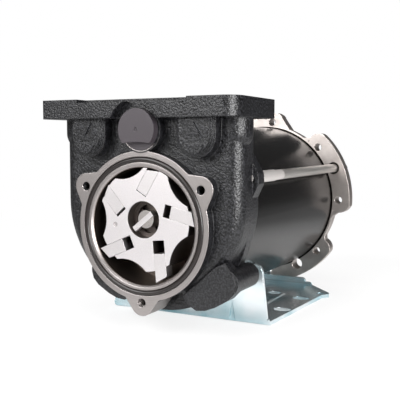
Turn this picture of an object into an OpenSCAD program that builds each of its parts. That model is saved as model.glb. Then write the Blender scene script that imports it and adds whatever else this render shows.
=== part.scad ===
// Diesel transfer pump: a five-vane pump on a tie-rod DC motor with a sheet foot.
// X runs to the right, Y runs back along the motor and Z is up.
// The origin is on the floor, at the middle of the four foot slots.

/* [Pump chamber] */
// Radius of the pump chamber
bore_r = 32.5; // [31.5:0.5:33]
// Depth of the chamber behind the machined ring face
chamber_depth = 24; // [23:0.5:24.5]
// Height of the rotor axis above the chamber axis
ecc = 3.6; // [3:0.1:4]
// Gap between rotor and chamber wall where they come closest
rotor_gap = 0.15; // [0.1:0.05:0.4]
// Outer radius of the machined ring round the chamber
ring_r = 41.45; // [41:0.1:41.9]
// Height of the chamber axis above the floor
bore_h = 61.5; // [60:0.5:66]
// Distance from the ring face back to the middle of the foot slots
slots_back = 103.5; // [100:0.5:110]

/* [Rotor and vanes] */
// Direction of the first slot, counted up from the right as seen from the front
slot_angle = 59.2; // [50:0.1:70]
// Distance from the rotor axis to the slot's middle line
slot_off = 8.5; // [8:0.1:9]
// Thickness of a vane
vane_t = 7; // [6.6:0.05:7.2]
// Clearance of a vane in its slot, each side
vane_side_gap = 0.14; // [0.1:0.01:0.2]
// Length of a vane along its leading side
vane_len = 15.9; // [15:0.1:16]
// Slant of the vane tip
tip_slant = 26; // [15:1:35]
// Gap between the vane tips and the chamber wall
tip_gap = 0.5; // [0.3:0.05:0.8]
// Recess of the rotor face behind the ring face
rotor_recess = 2; // [1:0.1:3]
// Radius of the scoops between the vanes
scoop_r = 20; // [17:0.5:21]

/* [Casting] */
// Width of the pump casting
body_w = 114; // [112:0.5:116]
// Depth from the ring face to the casting's front wall
wall_y = 6; // [5:0.5:6.5]
// Depth from the ring face to the casting's rear face
body_back = 29; // [28.5:0.5:30]
// Corner radius of the casting's upright front edges
edge_r = 8; // [6:0.5:10]
// Reach of the top plate to the right of the middle plane
plate_right = 60; // [58.5:0.5:63]
// Reach of the top plate to the left of the middle plane
plate_left = 62.1; // [58.5:0.1:63]
// Depth of the top plate
plate_d = 52.5; // [49:0.5:56]
// Thickness of the top plate
plate_t = 10.6; // [9:0.1:12]
// Height of the plate's underside above the chamber axis
plate_z = 59.1; // [58.5:0.1:61]
// Distance from the middle plane to each port
port_x = 34.3; // [33.5:0.1:35]
// Radius of the port thread's bore
port_thread_r = 12.05; // [11:0.05:12.2]
// Depth of the port thread
port_thread_len = 14; // [10:0.5:14.5]
// Radius of the passage below each port
port_r = 9; // [7:0.5:9]
// Radius of the tapped cover holes
lug_hole_r = 2.5; // [2:0.1:2.6]
// Distance from the chamber axis to the cover holes
lug_pitch_r = 42.44; // [42:0.1:43.5]
// Radius of the valve cap
cap_r = 11.3; // [10.5:0.1:11.5]

/* [Motor] */
// Outer radius of the motor barrel
barrel_r = 53.3; // [52.8:0.1:53.6]
// Wall of the motor barrel
barrel_wall = 3.5; // [3:0.1:4]
// Length of the motor barrel
barrel_len = 147; // [145:1:160]
// Thickness of the end bell's plate
bell_t = 6.4; // [6:0.1:8]
// Thickness of the end cover
cover_t = 4.4; // [4:0.1:6]
// Radius of a tie rod
rod_r = 3; // [2.5:0.1:3.2]
// Radius of the armature shaft
shaft_r = 5; // [4.5:0.1:5.2]
// Radius of the armature core
core_r = 37; // [34:0.5:38]
// Length of the armature core
core_len = 62; // [50:1:64]

/* [Foot] */
// Thickness of the foot sheet
sheet_t = 2.5; // [2:0.1:3]
// Distance between slots across the foot
slot_span_x = 100; // [96:1:102]
// Distance between slots along the foot
slot_span_y = 35; // [30:1:40]
// Length of a foot slot
foot_slot_len = 11; // [10:0.5:12]
// Width of a foot slot
foot_slot_w = 8.4; // [6:0.2:9]

/* [Hidden] */
$fn = 96;

// Overrun of every cut, and the clearances
over = 1;
run_gap = 0.06;
seat_gap = 0.05;
loose_gap = 0.3;
sides = [-1, 1];

// Vanes: the tip's leading corner keeps tip_gap off the chamber wall all the way round, because
// each vane's slide follows a sine of the turning angle with this mean, swing and lead angle
vane_n = 5;
vane_pitch = 360 / vane_n;
lead_off = slot_off - vane_t / 2;
wall_reach = sqrt(bore_r * bore_r - lead_off * lead_off - ecc * ecc);
slide_mid = wall_reach - tip_gap;
slide_lead = atan(lead_off / wall_reach);
slide_amp = ecc / cos(slide_lead);
vane_back_gap = 0.2;
vane_end_gap = 0.3;
function vane_dir(k) = slot_angle - k * vane_pitch;
function vane_slide(k) = slide_mid - slide_amp * sin(vane_dir(k) + slide_lead);

// Rotor
rotor_r = bore_r - ecc - rotor_gap;
rotor_len = chamber_depth - rotor_recess - loose_gap;
slot_in = slide_mid - slide_amp - vane_len - vane_back_gap;
slot_w = vane_t + 2 * vane_side_gap;
scoop_lift = 15.7;
scoop_pitch_r = rotor_r + scoop_lift;
scoop_lag = 22;
hub_r = 10.3;
hub_depth = 7;
step_r = 8.2;
step_depth = 2.5;
notch_w = 3.4;
dot_r = 1.4;
dot_depth = 0.5;
dot_pitch_r = 18.7;
dot_dir = 190.5;

// Drive key through the shaft's end
key_dir = 38.6;
key_t = 3;
key_long = 9.4;
key_short = 5.6;
key_h = 3.6;
shaft_front = 4.8;
key_front = 4;

// Casting
drum_r = body_w / 2;
drum_z = 12.5;
drum_gap = 22;
drum_gap_z = -28;
block_back = 22;
lug_r = 7.3;
lug_web_share = [[0.92, 0.27], [1.086, 0.149]];
lug_dirs = [30, 150, 270];
low_lug_depth = 17;
lug_hole_depth = 13;
bore_mouth = 1.3;
groove_in = 35.3;
groove_w = 3.05;
groove_depth = 2.4;
o_ring_r = 1.5;
plate_r = 9;
plate_small_r = 1.6;
plate_front = -7;
rebate_left = 37.5;
rebate_right = 32;
rebate_back = 9;
rebate_depth = 1.8;
cap_z = 53;
cap_arch_r = 16.2;
cap_arch_depth = 6;
port_y = 15.5;
port_low = 8;
bulge_r = 9.5;
bulge_x = 49.7;
bulge_y = 15;
bulge_z = 51;
boss_r = 10.7;
boss_z = 49.4;
boss_front = -3.2;
boss_edge = 0.8;
boss_steps = 4;
pad_r = 5.6;
pad_z = 45.4;
pad_t = 0.9;
arrow_w = 8.2;
arrow_h = 7;
arrow_z = 49.9;
ear_front = 21;
ear_share = [[0.88, 0.77], [0.935, 0.73], [1.055, 0.52], [1.062, 0.42], [0.97, 0.23], [0.88, 0.23]];
rod_x = 54.5;
rod_z = 27;
rod_hole_depth = 9;
lobe_front = 4.5;
lobe_front_left = 21;
lobe_in_left = 6;
lobe_down_left = 3.5;
lobe_t = 8;
lobe_share = [
    [0.412, -0.64], [0.426, -0.675], [0.47, -0.73], [0.554, -0.775], [0.65, -0.765], [0.754, -0.723],
    [0.886, -0.644], [0.947, -0.58], [0.967, -0.505], [0.93, -0.412], [0.886, -0.342], [0.851, -0.298],
    [0.737, -0.36], [0.579, -0.5]
];
stud_boss_r = 6.9;
stud_boss_x = 49;
stud_boss_z = -27.8;
stud_boss_back = 34;
rear_disc_t = 7;
rear_disc_lip = 1.2;

// Bypass valve under the cap
valve_r = 6.5;
valve_seat = 20;
valve_eye_r = 4;
valve_eye_end = 24.5;
valve_in_y = 17.2;
valve_out_y = 22.4;
valve_side_r = 2.6;
cap_front = -5;
cap_step = -0.5;
cap_relief_r = 46.3;
cap_rim = 1.3;
cap_rim_front = -0.4;
cap_seat_y = 3;
plug_r = 8.6;
plug_end = 6;
plug_hollow_r = 5.9;
plug_floor = 1.6;
cap_ring_r = 0.9;
cap_ring_y = 4.4;
gate_r = 1;
gate_depth = 0.4;
poppet_len = 4.6;
poppet_stem_r = 3;
poppet_stem_len = 3;
poppet_nose_r = 3.7;
poppet_nose_len = 2;
spring_r = 4.7;
spring_wire = 0.6;
spring_turns = 6;

// Seal and bearing behind the chamber
hub_out_r = 17;
hub_back = 44;
seal_front = 27.6;
seal_back = 34.4;
seal_r = 9.4;
seal_lip = 2;
bearing_r = 13;
bearing_w = 8;
bearing_race = 2.6;
bearing_shield_t = 0.8;

// Motor
barrel_front = body_back;
barrel_back = barrel_front + barrel_len;
barrel_in_r = barrel_r - barrel_wall;
bell_disc_r = 55.4;
bell_spigot = 4;
bell_spigot_wall = 3;
bell_hub_r = 14;
bell_hub_len = 13;
bush_r = 9;
bush_len = 10;
ball_r = 3;
ball_gap = 0.1;
shaft_end = barrel_back - bell_hub_len + bush_len + loose_gap + loose_gap;
ball_y = shaft_end + ball_gap + ball_r;
cover_back = barrel_back + bell_t + cover_t;
cover_inset = 0.7;
core_front = 60;
core_back = core_front + core_len;
core_slots = 12;
core_slot_w = 3;
core_slot_depth = 13;
core_mouth_w = 1.6;
wind_r = 34;
wind_in_r = 13;
wind_len = 9;
comm_r = 17;
comm_front = core_back + wind_len + loose_gap;
comm_len = 17;
comm_bars = 24;
comm_cut_w = 0.7;
comm_cut_depth = 1.2;
magnet_gap = 0.8;
magnet_split = 30;
magnet_over = 3;
magnet_front = core_front - magnet_over;
magnet_len = core_len + 2 * magnet_over;
plate_disc_t = 3;
plate_disc_y = comm_front + comm_len;
plate_hole_r = 20;
brush_w = 10;
brush_h = 7;
brush_len = 15;
brush_gap = 0.05;
brush_side_gap = 0.1;
holder_wall = 1.2;
holder_in = 19.5;
holder_out = 44;
holder_cap_t = 1.2;
brush_spring_r = 2.4;
brush_spring_wire = 0.5;
brush_spring_turns = 5;
rod_thick_r = 3.35;
rod_thick_len = 28;
rod_tail = 9;
rod_hole_gap = 0.25;
washer_r = 6;
washer_t = 1.6;
nut_flats = 10;
nut_t = 5;
grommet_r = 7;
grommet_body_r = 5;
grommet_hole_r = 3;
grommet_lip = 2.5;
grommet_z = -26;
screw_r = 2;
screw_head_r = 3.6;
screw_head_t = 3.2;
screw_socket_share = 0.48;
small_screw_r = 1.5;
small_head_r = 2.9;
small_head_t = 2.2;
screw_depth = 4;
screw_pitch_r = 44;
screw_dirs = [45, 135, 225, 315];

// End bell's outline, as directions and distances from the motor axis
tab_dir = 81;
tab_end_dir = 100;
tab_tip_r = 65;
tab_corner_r = 5;
tab_low_r = 61.5;
side_top_dir = 43.5;
side_low_dir = -1.2;
side_tip_r = 66.8;
side_corner_r = 8;
low_top_dir = -39.5;
low_end_dir = -70;
low_tip_r = 65.3;
low_corner_r = 8;
corner_lift = 0.5;
root_dir = 14;
root_share = 0.97;
base_tip_r = 61;
corner_hole = [42.5, 38.5];
side_hole_x = 58.6;
top_hole = [6.1, 57.2];
big_hole = [27.3, -49.6];
flange_screw = [4.1, -57.2];
flange_hole_r = 2.7;
big_hole_r = 4;

// Foot
foot_front = 51.5;
foot_back = 169;
foot_low = -bore_h;
bend_in_r = 1.5;
bend_r = sheet_t + bend_in_r;
wall_low_x = 54;
wall_top_x = 50.3;
wall_tip_r = 5;
wall_tip_x = 45.4;
wall_tip_z = -30.2;
base_share = [[0.92, -0.057], [1.02, 0.728], [1.08, 0.773], [1.06, 0.803], [0.66, 1.013]];
rear_wall_x = 37;
rear_wall_h = 7;
rear_wall_tip_r = 2.6;
saddle_gap = 0.1;
dart_x = 31;
dart_r = 2.6;
dart_h = 15;
gusset_t = 2;
gusset_d = 9;
rib_x = 35;
rib_r = 1.5;
rib_rise = 0.8;
rib_len = 60;
rib_y = 68;
base_hole_r = 4.4;
base_hole_x = 28;
base_hole_y = 129;
end_hole_x = 57;
end_hole_y = 141;
end_hole_r = 2.6;

// Moves the pump's own frame, on the chamber axis at the ring face, to the part's frame
module place() {
    translate([0, -slots_back, bore_h]) children();
}

module on_motor() {
    translate([0, 0, ecc]) children();
}

// A round bar along Y
module bar(r, y0, y1) {
    translate([0, y0, 0]) rotate([-90, 0, 0]) cylinder(r = r, h = y1 - y0);
}

// A ring along Y
module pipe(r_out, r_in, y0, y1) {
    difference() {
        bar(r_out, y0, y1);
        bar(r_in, y0 - over, y1 + over);
    }
}

// A flat outline in X and Z, as thick as y0 to y1
module slab(y0, y1) {
    translate([0, y1, 0]) rotate([90, 0, 0]) linear_extrude(height = y1 - y0) children();
}

module mirrored() {
    children();
    mirror([1, 0, 0]) children();
}

function polar(r, a) = [r * cos(a), r * sin(a)];

// A coil spring along Z from 0 to len, as one tube
module coil(r, wire, turns, len) {
    ring_n = 8;
    side_n = 6;
    steps = turns * ring_n;
    rise = (len - 2 * wire) / steps;
    pts = [for (i = [0:steps], j = [0:side_n - 1])
        let (a = i * 360 / ring_n, b = j * 360 / side_n, q = r + wire * cos(b))
        [q * cos(a), q * sin(a), wire + i * rise + wire * sin(b)]];
    skin = [for (i = [0:steps - 1], j = [0:side_n - 1])
        let (a = i * side_n + j, b = i * side_n + (j + 1) % side_n)
        each [[a, a + side_n, b + side_n], [a, b + side_n, b]]];
    head = [for (j = [1:side_n - 2]) [0, j, j + 1]];
    last = steps * side_n;
    tail = [for (j = [1:side_n - 2]) [last, last + j + 1, last + j]];
    polyhedron(points = pts, faces = concat(skin, head, tail));
}

// Casting

// Round lower part, with a rounded front edge, open below the ring in the middle
module drum() {
    difference() {
        translate([0, wall_y, drum_z]) rotate([-90, 0, 0]) rotate_extrude() union() {
            square([drum_r - edge_r, body_back - wall_y]);
            translate([0, edge_r]) square([drum_r, body_back - wall_y - edge_r]);
            intersection() {
                translate([drum_r - edge_r, edge_r]) circle(r = edge_r);
                square([drum_r, body_back]);
            }
        }
        translate([-drum_gap, wall_y - over, drum_gap_z - drum_r])
            cube([2 * drum_gap, body_back - rear_disc_t - wall_y + over, drum_r]);
    }
}

// Upper part between the drum and the top plate
module upper_block() {
    depth = block_back - wall_y;
    translate([0, wall_y, drum_z]) linear_extrude(height = plate_z - drum_z + over) {
        translate([edge_r - drum_r, 0]) square([body_w - 2 * edge_r, depth]);
        translate([-drum_r, edge_r]) square([body_w, depth - edge_r]);
        for (s = sides) translate([s * (drum_r - edge_r), edge_r]) circle(r = edge_r);
    }
}

// Swelling of the casting round the outer side of a port, rounded off below
module port_bulge(s) {
    translate([s * bulge_x, bulge_y, bulge_z]) {
        cylinder(r = bulge_r, h = plate_z - bulge_z + over);
        sphere(r = bulge_r);
    }
}

// Corners of the top plate in turn, as place, side and radius
plate_corners = [
    [[plate_right, 0], [1, -1], plate_r],
    [[plate_right, plate_d], [1, 1], plate_small_r],
    [[-plate_left, plate_d], [-1, 1], plate_small_r],
    [[-plate_left, 0], [-1, -1], plate_small_r]
];
function corner_ends(c) = [c[0] - [c[1][0] * c[2], 0], c[0] - [0, c[1][1] * c[2]]];

module top_plate() {
    difference() {
        translate([0, plate_front, plate_z]) linear_extrude(height = plate_t) {
            polygon([for (c = plate_corners)
                each c[1][0] * c[1][1] < 0 ? corner_ends(c) : [corner_ends(c)[1], corner_ends(c)[0]]]);
            for (c = plate_corners) translate(c[0] - c[2] * c[1]) circle(r = c[2]);
        }
        translate([-rebate_left, plate_front - over, plate_z + plate_t - rebate_depth])
            cube([rebate_left + rebate_right, rebate_back + over, rebate_depth + over]);
        translate([0, 0, cap_z]) bar(cap_arch_r, plate_front - over, plate_front + cap_arch_depth);
    }
}

module lug(dir, depth) {
    slab(0, depth) rotate(dir) {
        translate([lug_pitch_r, 0]) circle(r = lug_r);
        polygon(concat(
            [for (p = lug_web_share) lug_pitch_r * p],
            [for (i = [len(lug_web_share) - 1:-1:0])
                [lug_pitch_r * lug_web_share[i][0], -lug_pitch_r * lug_web_share[i][1]]]
        ));
    }
}

// U-shaped boss in front of a port, with a flow arrow and a half-round pad
module port_boss(s) {
    for (e = [0:boss_steps - 1]) {
        r = boss_r + (1 - e) * boss_edge;
        slab(boss_front + (boss_steps - 1 - e) * boss_edge, wall_y + over) translate([s * port_x, boss_z]) {
            circle(r = r);
            translate([-r, 0]) square([2 * r, plate_z - boss_z + over]);
        }
    }
    slab(boss_front - pad_t, boss_front + over) translate([s * port_x, 0]) {
        intersection() {
            translate([0, pad_z]) circle(r = pad_r);
            translate([-pad_r, pad_z - pad_r]) square([2 * pad_r, pad_r]);
        }
        translate([0, arrow_z + (1 - s) / 2 * arrow_h]) polygon([
            [-arrow_w / 2, 0], [arrow_w / 2, 0], [0, s * arrow_h]
        ]);
    }
}

// Lobe that reaches down beside the ring, and the stud boss behind it
module foot_lobe(front) {
    slab(front, front + lobe_t) polygon([for (p = lobe_share) drum_r * p]);
    translate([stud_boss_x, 0, stud_boss_z]) bar(stud_boss_r, front + over, stud_boss_back);
}

module rod_ear() {
    slab(ear_front, body_back) polygon([for (p = ear_share) drum_r * p]);
}

module port_cut(s) {
    translate([s * port_x, port_y, port_low])
        cylinder(r = port_r, h = plate_z - port_low);
    translate([s * port_x, port_y, plate_z + plate_t - port_thread_len])
        cylinder(r = port_thread_r, h = port_thread_len + over);
}

module valve_cut() {
    translate([0, 0, cap_z]) {
        bar(cap_r + seat_gap, cap_rim_front - over, cap_seat_y);
        bar(plug_r + seat_gap, cap_seat_y - over, plug_end + seat_gap);
        bar(valve_r, plug_end, valve_seat);
        bar(valve_eye_r, valve_seat - over, valve_eye_end);
    }
    translate([0, valve_out_y, cap_z]) rotate([0, 90, 0]) cylinder(r = valve_side_r, h = port_x);
    translate([-port_x, valve_in_y, cap_z]) rotate([0, 90, 0]) cylinder(r = valve_side_r, h = port_x);
}

module pump_body() color("#34343a") place() difference() {
    union() {
        drum();
        upper_block();
        top_plate();
        bar(ring_r, 0, body_back);
        on_motor() bar(barrel_r + rear_disc_lip, body_back - rear_disc_t, body_back);
        on_motor() bar(hub_out_r, body_back - over, hub_back);
        for (d = lug_dirs) lug(d, d == lug_dirs[2] ? low_lug_depth : wall_y + over);
        for (s = sides) port_boss(s);
        translate([0, 0, cap_z]) bar(cap_r + cap_rim, cap_rim_front, wall_y + over);
        foot_lobe(lobe_front);
        mirror([1, 0, 0]) translate([-lobe_in_left, 0, -lobe_down_left]) foot_lobe(lobe_front_left);
        for (s = sides) port_bulge(s);
        mirrored() rod_ear();
    }
    bar(bore_r, -over, chamber_depth);
    translate([0, -over, 0]) rotate([-90, 0, 0])
        cylinder(r1 = bore_r + bore_mouth + over, r2 = bore_r, h = bore_mouth + over);
    pipe(groove_in + groove_w, groove_in, -over, groove_depth);
    for (d = lug_dirs)
        translate([lug_pitch_r * cos(d), 0, lug_pitch_r * sin(d)]) bar(lug_hole_r, -over, lug_hole_depth);
    on_motor() {
        bar(shaft_r + loose_gap, chamber_depth - over, seal_front + over);
        bar(seal_r + seat_gap, seal_front, seal_back + over);
        bar(bearing_r + seat_gap, seal_back, hub_back + over);
    }
    difference() {
        on_motor() bar(barrel_r + loose_gap, body_back, stud_boss_back + over);
        on_motor() bar(hub_out_r, body_back - over, hub_back);
    }
    for (s = sides) port_cut(s);
    valve_cut();
    for (s = sides)
        translate([s * rod_x, 0, rod_z]) bar(rod_r + seat_gap, body_back - rod_hole_depth, body_back + over);
}

module cover_o_ring() color("#1c1817") place()
    translate([0, groove_depth - o_ring_r - seat_gap, 0]) rotate([-90, 0, 0]) rotate_extrude()
        translate([groove_in + groove_w / 2, 0]) circle(r = o_ring_r);

// Bypass valve

module bypass_cap() color("#5f5a5f") place() translate([0, 0, cap_z]) difference() {
    union() {
        bar(cap_r, cap_step, cap_seat_y - seat_gap);
        difference() {
            bar(cap_r, cap_front, cap_step + over);
            translate([0, 0, -cap_z]) bar(cap_relief_r, cap_front - over, cap_step);
        }
        bar(plug_r, cap_seat_y - over, plug_end);
    }
    bar(plug_hollow_r, cap_step + plug_floor, plug_end + over);
    translate([0, cap_ring_y, 0]) rotate([-90, 0, 0]) rotate_extrude()
        translate([plug_r, 0]) circle(r = cap_ring_r);
    bar(gate_r, cap_front - over, cap_front + gate_depth);
}

module bypass_cap_o_ring() color("#171717") place() translate([0, cap_ring_y, cap_z])
    rotate([-90, 0, 0]) rotate_extrude()
        translate([plug_r - cap_ring_r / 2 + seat_gap, 0]) circle(r = cap_ring_r / 2);

spring_front = cap_step + plug_floor + seat_gap;
spring_back = valve_seat - seat_gap - poppet_len;
module bypass_spring() color("#b8bcc0") place() translate([0, spring_front, cap_z])
    rotate([-90, 0, 0]) coil(spring_r, spring_wire, spring_turns, spring_back - spring_front - seat_gap);

module bypass_poppet() color("#a8884a") place() translate([0, 0, cap_z]) {
    bar(valve_r - run_gap, spring_back, valve_seat - seat_gap);
    bar(poppet_stem_r, spring_back - poppet_stem_len, spring_back + over);
    bar(poppet_nose_r, valve_seat - over, valve_seat + poppet_nose_len);
}

// Rotor and vanes

module rotor() color("#c9c6c2") place() on_motor() difference() {
    slab(rotor_recess, rotor_recess + rotor_len) difference() {
        circle(r = rotor_r);
        for (k = [0:vane_n - 1]) rotate(vane_dir(k)) {
            translate([slot_in, slot_off - slot_w / 2]) square([rotor_r, slot_w]);
            rotate(-scoop_lag) translate([scoop_pitch_r, 0]) circle(r = scoop_r);
        }
        circle(r = shaft_r + seat_gap);
    }
    bar(hub_r, 0, rotor_recess + hub_depth);
    bar(step_r, 0, rotor_recess + hub_depth + step_depth);
    for (turn = [0, 90])
        slab(0, rotor_recess + hub_depth + 2 * step_depth)
            rotate(key_dir + turn) square([2 * step_r, notch_w], center = true);
    translate([dot_pitch_r * cos(dot_dir), 0, dot_pitch_r * sin(dot_dir)])
        bar(dot_r, 0, rotor_recess + dot_depth);
}

module vane(k) color("#dedbd6") place() on_motor()
    slab(rotor_recess, chamber_depth - vane_end_gap) rotate(vane_dir(k)) polygon([
        [vane_slide(k) - vane_len, lead_off],
        [vane_slide(k), lead_off],
        [vane_slide(k) - vane_t * tan(tip_slant), lead_off + vane_t],
        [vane_slide(k) - vane_len, lead_off + vane_t]
    ]);

module drive_key() color("#e2e0dc") place() on_motor()
    slab(key_front, key_front + key_h) rotate(key_dir) translate([-key_long, -key_t / 2])
        square([key_long + key_short, key_t]);

// Seal, bearing and shaft

module shaft_seal() color("#4a3428") place() on_motor() difference() {
    bar(seal_r, seal_front + seat_gap, seal_back);
    bar(shaft_r + run_gap, seal_front, seal_back + over);
    bar(seal_r - seal_lip, seal_front + seal_lip, seal_back + over);
}

bearing_front = seal_back + seat_gap;
module front_bearing_outer() color("#8d9094") place() on_motor() {
    pipe(bearing_r, bearing_r - bearing_race, bearing_front, bearing_front + bearing_w);
    for (y = [bearing_front, bearing_front + bearing_w - bearing_shield_t])
        pipe(bearing_r - bearing_race, shaft_r + bearing_race + run_gap, y, y + bearing_shield_t);
}

module front_bearing_inner() color("#a5a8ab") place() on_motor()
    pipe(shaft_r + bearing_race, shaft_r + seat_gap, bearing_front, bearing_front + bearing_w);

module armature_shaft() color("#8f8b88") place() on_motor() difference() {
    bar(shaft_r, shaft_front, shaft_end);
    slab(shaft_front - over, key_front + key_h + seat_gap) rotate(key_dir)
        square([3 * shaft_r, key_t + 2 * seat_gap], center = true);
}

module armature_core() color("#5d6064") place() on_motor() slab(core_front, core_back) difference() {
    circle(r = core_r);
    for (k = [0:core_slots - 1]) rotate(k * 360 / core_slots) {
        translate([core_r - core_slot_depth, -core_slot_w / 2])
            square([core_slot_depth - core_slot_w, core_slot_w]);
        translate([core_r - 2 * core_slot_w, -core_mouth_w / 2]) square([3 * core_slot_w, core_mouth_w]);
    }
    circle(r = shaft_r + seat_gap);
}

module armature_winding() color("#9a5a2c") place() on_motor() {
    pipe(wind_r, wind_in_r, core_front - wind_len, core_front - seat_gap);
    pipe(wind_r, wind_in_r, core_back + seat_gap, core_back + wind_len);
    for (k = [0:core_slots - 1])
        slab(core_front - seat_gap - over, core_back + seat_gap + over) rotate(k * 360 / core_slots)
            translate([core_r - core_slot_depth + seat_gap, seat_gap - core_slot_w / 2])
                square([core_slot_depth - 2 * core_slot_w - seat_gap, core_slot_w - 2 * seat_gap]);
    pipe(wind_in_r + over, shaft_r + seat_gap, core_front - wind_len, core_front - wind_len / 2);
    pipe(wind_in_r + over, shaft_r + seat_gap, core_back + wind_len / 2, core_back + wind_len);
}

module commutator() color("#b87440") place() on_motor()
    slab(comm_front, comm_front + comm_len) difference() {
        circle(r = comm_r);
        for (k = [0:comm_bars - 1]) rotate((k + 1 / 2) * 360 / comm_bars)
            translate([comm_r - comm_cut_depth, -comm_cut_w / 2]) square([2 * comm_cut_depth, comm_cut_w]);
        circle(r = shaft_r + seat_gap);
    }

// Motor housing and brushes

module motor_barrel() color("#2b2b2d") place() on_motor()
    pipe(barrel_r, barrel_in_r, barrel_front, barrel_back);

module magnets() color("#3c3a3a") place() on_motor() slab(magnet_front, magnet_front + magnet_len) difference() {
    circle(r = barrel_in_r - seat_gap);
    circle(r = core_r + magnet_gap);
    square([2 * barrel_r, magnet_split], center = true);
}

module brush_plate() color("#6a5238") place() on_motor()
    pipe(barrel_in_r - seat_gap, plate_hole_r, plate_disc_y, plate_disc_y + plate_disc_t);

brush_y = plate_disc_y - seat_gap - holder_wall - brush_side_gap - brush_h;
module brush_box(x0, x1, grow) {
    translate([x0, brush_y - grow, -brush_w / 2 - grow])
        cube([x1 - x0, brush_h + 2 * grow, brush_w + 2 * grow]);
}

module brush_holders() color("#c2a24c") place() on_motor() mirrored() difference() {
    brush_box(holder_in, holder_out, brush_side_gap + holder_wall);
    brush_box(holder_in - over, holder_out - holder_cap_t, brush_side_gap);
}

brush_tail = comm_r + brush_gap + brush_len;
module brush_spring() {
    place() on_motor() translate([brush_tail + seat_gap, brush_y + brush_h / 2, 0]) rotate([0, 90, 0])
        coil(brush_spring_r, brush_spring_wire, brush_spring_turns,
            holder_out - holder_cap_t - brush_tail - 2 * seat_gap);
}
module brush_spring_right() color("#b8bcc0") brush_spring();
module brush_spring_left() color("#b8bcc0") mirror([1, 0, 0]) brush_spring();

module brush() {
    place() on_motor() difference() {
        brush_box(comm_r / 2, brush_tail, 0);
        bar(comm_r + brush_gap, brush_y - over, brush_y + brush_h + over);
    }
}
module brush_right() color("#2a2a2e") brush();
module brush_left() color("#2a2a2e") mirror([1, 0, 0]) brush();

// End bell, end cover and what they hold

module wedge(r, a0, a1) {
    reach = 2 * r;
    polygon([[0, 0], polar(reach, a0), polar(reach, (a0 + a1) / 2), polar(reach, a1)]);
}

// Sloping roots from a lobe's sides down to the disc
module roots(r, corner, a0, a1) {
    for (e = [[a0, -1], [a1, 1]]) polygon([
        [0, 0],
        polar(bell_disc_r * root_share, e[0] + e[1] * root_dir),
        polar(r - corner, e[0]) + polar(corner * root_share, e[0] + e[1] * 90)
    ]);
}

// Fan out to radius r, with a rounded corner at each side
module lobe(r, corner, a0, a1) {
    intersection() {
        circle(r = r);
        union() {
            intersection() {
                circle(r = r + over);
                wedge(r, a0, a1);
            }
            for (a = [a0, a1]) translate(polar(r - corner + corner_lift, a)) circle(r = corner);
        }
    }
}

module bell_outline(inset) {
    circle(r = bell_disc_r - inset);
    lobe(side_tip_r - inset, side_corner_r - inset, side_low_dir, side_top_dir);
    mirror([1, 0]) lobe(side_tip_r - inset, side_corner_r - inset, side_low_dir, side_top_dir);
    lobe(low_tip_r - inset, low_corner_r - inset, low_end_dir, low_top_dir);
    mirror([1, 0]) lobe(low_tip_r - inset, low_corner_r - inset, low_end_dir, low_top_dir);
    intersection() {
        circle(r = base_tip_r - inset);
        wedge(base_tip_r, -180 - low_end_dir, low_end_dir);
    }
    lobe(tab_low_r - inset, tab_corner_r - inset, tab_dir, tab_end_dir);
    translate(polar(tab_tip_r - tab_corner_r, tab_dir)) circle(r = tab_corner_r - inset);
    polygon([
        [0, 0],
        polar(bell_disc_r - inset - over, tab_dir - root_dir),
        polar(tab_tip_r - tab_corner_r, tab_dir) + polar((tab_corner_r - inset) * root_share, tab_dir - 60),
        polar(tab_tip_r - tab_corner_r, tab_dir) + polar((tab_corner_r - inset) * root_share, tab_dir + 60),
        polar(bell_disc_r - inset - over, tab_end_dir)
    ]);
}

module bell_holes() {
    for (s = sides) {
        for (t = sides) translate([s * corner_hole[0], t * corner_hole[1]]) circle(r = flange_hole_r);
        translate([s * side_hole_x, 0]) circle(r = flange_hole_r);
        translate([s * big_hole[0], big_hole[1]]) circle(r = big_hole_r);
        translate([s * flange_screw[0], flange_screw[1]]) circle(r = small_screw_r + seat_gap);
        translate([s * rod_x, rod_z - ecc]) circle(r = rod_r + rod_hole_gap);
    }
    translate(top_hole) circle(r = flange_hole_r);
    translate([0, grommet_z]) circle(r = grommet_body_r + seat_gap);
}

module end_bell() color("#b9b3ae") place() on_motor() difference() {
    union() {
        slab(barrel_back, barrel_back + bell_t) difference() {
            union() {
                bell_outline(0);
                mirrored() {
                    roots(side_tip_r, side_corner_r, side_low_dir, side_top_dir);
                    roots(low_tip_r, low_corner_r, low_end_dir, low_top_dir);
                }
            }
            bell_holes();
        }
        pipe(barrel_in_r - seat_gap, barrel_in_r - bell_spigot_wall, barrel_back - bell_spigot, barrel_back + over);
        bar(bell_hub_r, barrel_back - bell_hub_len, barrel_back + over);
    }
    bar(bush_r + seat_gap, barrel_back - bell_hub_len - over, barrel_back - bell_hub_len + bush_len + seat_gap);
    bar(shaft_r + loose_gap, barrel_back - bell_hub_len, shaft_end + loose_gap);
    translate([crank_x, 0, crank_z]) bar(ball_r + ball_gap, shaft_end, ball_y + ball_r + ball_gap);
    for (d = screw_dirs) translate([screw_pitch_r * cos(d), 0, screw_pitch_r * sin(d)])
        bar(screw_r + seat_gap, barrel_back + bell_t - screw_depth, barrel_back + bell_t + over);
}

module rear_bush() color("#9c7a45") place() on_motor()
    pipe(bush_r, shaft_r + run_gap, barrel_back - bell_hub_len, barrel_back - bell_hub_len + bush_len);

// The ball that takes the shaft's end play. Its middle lies halfway between the rotor and chamber
// axes, turned by the vanes' lead angle.
crank_x = -ecc / 2 * tan(slide_lead);
crank_z = -ecc / 2;
module thrust_ball() color("#c8ccd0") place() on_motor()
    translate([crank_x, ball_y, crank_z]) sphere(r = ball_r);

module end_cover() color("#aaa5a1") place() on_motor()
    slab(barrel_back + bell_t, cover_back) difference() {
        bell_outline(cover_inset);
        bell_holes();
        for (d = screw_dirs) translate(polar(screw_pitch_r, d)) circle(r = screw_r + seat_gap);
    }

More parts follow.
